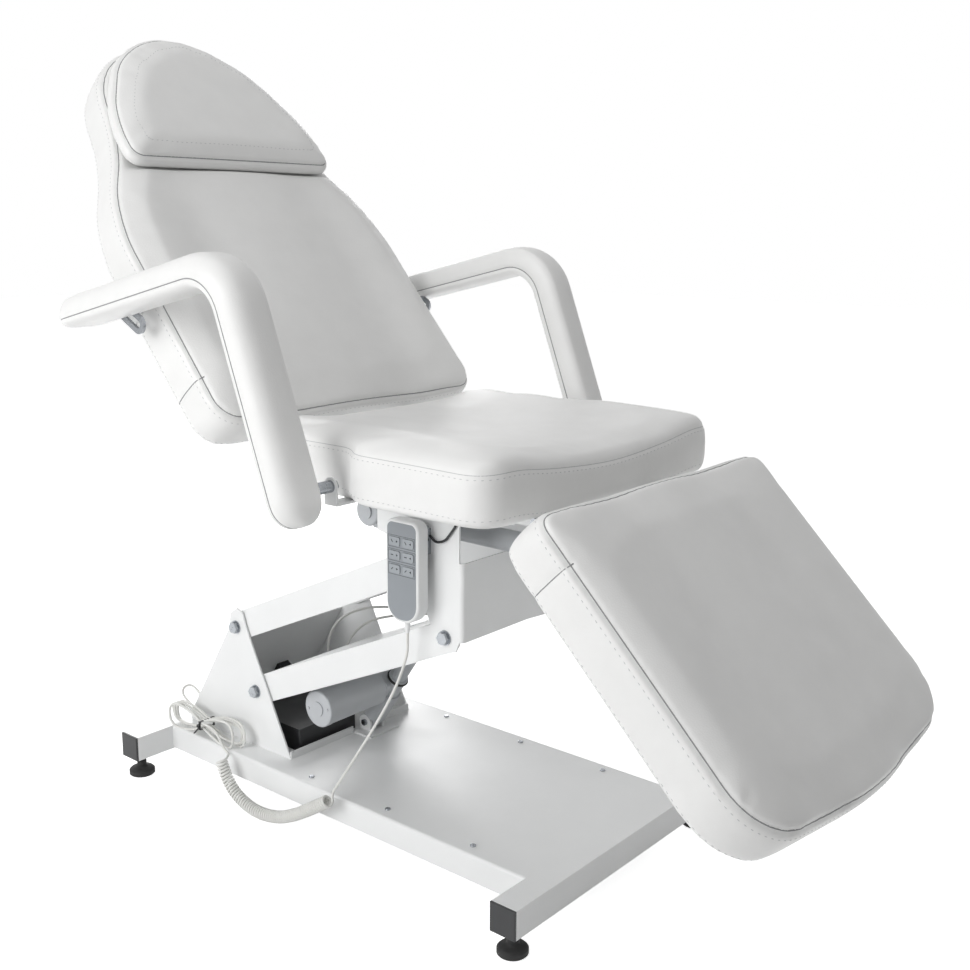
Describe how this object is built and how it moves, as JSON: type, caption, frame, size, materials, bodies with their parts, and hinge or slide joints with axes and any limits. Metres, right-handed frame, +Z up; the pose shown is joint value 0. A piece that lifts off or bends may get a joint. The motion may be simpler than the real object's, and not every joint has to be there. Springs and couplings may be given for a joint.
{
  "type": "electric beauty treatment chair",
  "caption": "Electric treatment chair: padded seat, reclining back with head pillow, folding leg rest and armrests, carried by a parallelogram lift on a levelling base, with a corded handset.",
  "frame": {"origin": "middle of the footprint on the floor", "axes": "+Z up, -Y towards the foot end, +Y towards the head end, X across"},
  "size_m": [0.796, 1.5322, 1.3385],
  "materials": {
    "white_leatherette": "white synthetic leather with a fine soft grain",
    "white_paint": "white powder coat on sheet and tube steel",
    "zinc_steel": "bright zinc-plated steel",
    "bright_rod": "polished rod",
    "black_plastic": "black moulded plastic",
    "black_rubber": "black rubber levelling foot",
    "grey_actuator": "light grey motor and tube housing",
    "plywood": "plywood panel under the padding",
    "white_plastic": "white moulded plastic",
    "grey_panel": "grey keypad panel",
    "key_plastic": "pale grey keys",
    "white_cable": "white flexible cable sheath"
  },
  "bodies": {
    "base": {"base_front_tube": "white_paint", "base_rear_tube": "white_paint", "base_deck": "white_paint", "base_fasteners": "zinc_steel", "tube_end_caps": "black_plastic", "lift_bracket": "white_paint", "control_box": "black_plastic", "mains_inlet": "black_plastic", "cord_gland": "white_plastic", "lift_clevis": "white_paint", "handset_curly_cord": "white_cable", "handset_cord_hank": "white_cable", "handset_cord_tail": "white_cable", "hank_tie": "black_plastic"},
    "foot_front_right": {"foot_front_right": "black_rubber"},
    "foot_front_left": {"foot_front_left": "black_rubber"},
    "foot_rear_right": {"foot_rear_right": "black_rubber"},
    "foot_rear_left": {"foot_rear_left": "black_rubber"},
    "lower_arm": {"lower_arm": "white_paint", "motor_leads": "white_cable"},
    "upper_arm": {"upper_arm": "white_paint"},
    "seat": {"seat_pedestal": "white_paint", "seat_pivot_bolts": "zinc_steel", "seat_frame": "white_paint", "seat_board": "plywood", "seat_cushion": "white_leatherette", "armrest_brackets": "white_paint", "back_actuator": "grey_actuator", "leg_actuator": "grey_actuator", "handset_holder": "zinc_steel", "handset_back_shell": "white_plastic", "handset_front_shell": "white_plastic", "handset_face": "grey_panel", "handset_strain_relief": "white_plastic", "handset_hook": "black_plastic", "handset_lead": "white_cable"},
    "lift_actuator": {"lift_motor": "grey_actuator", "lift_gearbox": "grey_actuator", "lift_outer_tube": "grey_actuator"},
    "lift_rod": {"lift_rod": "grey_actuator"},
    "back": {"back_frame": "white_paint", "back_board": "plywood", "back_cushion": "white_leatherette", "back_armrest_brackets": "white_paint"},
    "back_rod": {"back_rod": "bright_rod"},
    "leg_rest": {"leg_frame": "white_paint", "leg_board": "plywood", "leg_cushion": "white_leatherette"},
    "leg_rod": {"leg_rod": "bright_rod"},
    "armrest_right": {"armrest_right_strap": "zinc_steel", "armrest_right_pad": "white_leatherette"},
    "armrest_left": {"armrest_left_strap": "zinc_steel", "armrest_left_pad": "white_leatherette"},
    "headrest": {"headrest_pillow": "white_leatherette"},
    "key_back_up": {"key_back_up": "key_plastic"},
    "key_back_down": {"key_back_down": "key_plastic"},
    "key_lift_up": {"key_lift_up": "key_plastic"},
    "key_lift_down": {"key_lift_down": "key_plastic"},
    "key_leg_up": {"key_leg_up": "key_plastic"},
    "key_leg_down": {"key_leg_down": "key_plastic"}
  },
  "joints": [
    {"name": "foot_front_right_level", "type": "slide", "parent": "base", "child": "foot_front_right", "axis": [0, 0, 1], "range_m": [-0.008, 0.008]},
    {"name": "foot_front_left_level", "type": "slide", "parent": "base", "child": "foot_front_left", "axis": [0, 0, 1], "range_m": [-0.008, 0.008]},
    {"name": "foot_rear_right_level", "type": "slide", "parent": "base", "child": "foot_rear_right", "axis": [0, 0, 1], "range_m": [-0.008, 0.008]},
    {"name": "foot_rear_left_level", "type": "slide", "parent": "base", "child": "foot_rear_left", "axis": [0, 0, 1], "range_m": [-0.008, 0.008]},
    {"name": "lift", "type": "hinge", "parent": "base", "child": "lower_arm", "pos_m": [0, 0.3095, 0.186], "axis": [-1, 0, 0], "range_deg": [-14, 17.5], "deforming": ["handset_lead", "handset_curly_cord", "motor_leads"]},
    {"name": "upper_arm_swing", "type": "hinge", "parent": "base", "child": "upper_arm", "pos_m": [0, 0.3585, 0.295], "axis": [-1, 0, 0], "range_deg": [-14, 17.5]},
    {"name": "seat_level", "type": "hinge", "parent": "lower_arm", "child": "seat", "pos_m": [0, -0.14073, 0.38929], "axis": [-1, 0, 0], "range_deg": [-17.5, 14]},
    {"name": "lift_actuator_swing", "type": "hinge", "parent": "base", "child": "lift_actuator", "pos_m": [0, 0.2105, 0.1], "axis": [-1, 0, 0], "range_deg": [-13.1, 16.4]},
    {"name": "lift_rod_stroke", "type": "slide", "parent": "lift_actuator", "child": "lift_rod", "axis": [0, -0.5673, 0.8235], "range_m": [-0.0315, 0.0394]},
    {"name": "back_recline", "type": "hinge", "parent": "seat", "child": "back", "pos_m": [0, 0.2005, 0.652], "axis": [-1, 0, 0], "range_deg": [-20, 49]},
    {"name": "back_rod_stroke", "type": "slide", "parent": "seat", "child": "back_rod", "axis": [0, -1, 0], "range_m": [-0.0366, 0.0895]},
    {"name": "leg_raise", "type": "hinge", "parent": "seat", "child": "leg_rest", "pos_m": [0, -0.3205, 0.6], "axis": [-1, 0, 0], "range_deg": [-8, 45]},
    {"name": "leg_rod_stroke", "type": "slide", "parent": "seat", "child": "leg_rod", "axis": [0, -1, 0], "range_m": [-0.0106, 0.059]},
    {"name": "armrest_right_swing", "type": "hinge", "parent": "seat", "child": "armrest_right", "pos_m": [0, -0.0515, 0.634], "axis": [-1, 0, 0], "range_deg": [-10.6, 25.9]},
    {"name": "armrest_left_swing", "type": "hinge", "parent": "seat", "child": "armrest_left", "pos_m": [0, -0.0515, 0.634], "axis": [-1, 0, 0], "range_deg": [-10.6, 25.9]},
    {"name": "headrest_lift_off", "type": "slide", "parent": "back", "child": "headrest", "axis": [0, -0.7593, 0.6508], "range_m": [0, 0.1]},
    {"name": "key_back_up_press", "type": "slide", "parent": "seat", "child": "key_back_up", "axis": [1, 0, 0], "range_m": [0, 0.0008], "stiffness_N_per_m": 1200, "springref_m": -0.0008},
    {"name": "key_back_down_press", "type": "slide", "parent": "seat", "child": "key_back_down", "axis": [1, 0, 0], "range_m": [0, 0.0008], "stiffness_N_per_m": 1200, "springref_m": -0.0008},
    {"name": "key_lift_up_press", "type": "slide", "parent": "seat", "child": "key_lift_up", "axis": [1, 0, 0], "range_m": [0, 0.0008], "stiffness_N_per_m": 1200, "springref_m": -0.0008},
    {"name": "key_lift_down_press", "type": "slide", "parent": "seat", "child": "key_lift_down", "axis": [1, 0, 0], "range_m": [0, 0.0008], "stiffness_N_per_m": 1200, "springref_m": -0.0008},
    {"name": "key_leg_up_press", "type": "slide", "parent": "seat", "child": "key_leg_up", "axis": [1, 0, 0], "range_m": [0, 0.0008], "stiffness_N_per_m": 1200, "springref_m": -0.0008},
    {"name": "key_leg_down_press", "type": "slide", "parent": "seat", "child": "key_leg_down", "axis": [1, 0, 0], "range_m": [0, 0.0008], "stiffness_N_per_m": 1200, "springref_m": -0.0008}
  ],
  "couplings": [
    {"joint": "upper_arm_swing", "follows": "lift", "ratio": 1},
    {"joint": "seat_level", "follows": "lift", "ratio": -1},
    {"joint": "lift_actuator_swing", "follows": "lift", "ratio": 0.9225},
    {"joint": "lift_rod_stroke", "follows": "lift", "m_per_rad": 0.1285},
    {"joint": "back_rod_stroke", "follows": "back_recline", "m_per_rad": 0.1045},
    {"joint": "armrest_right_swing", "follows": "back_recline", "ratio": 0.527},
    {"joint": "armrest_left_swing", "follows": "back_recline", "ratio": 0.527},
    {"joint": "leg_rod_stroke", "follows": "leg_raise", "m_per_rad": 0.075}
  ]
}
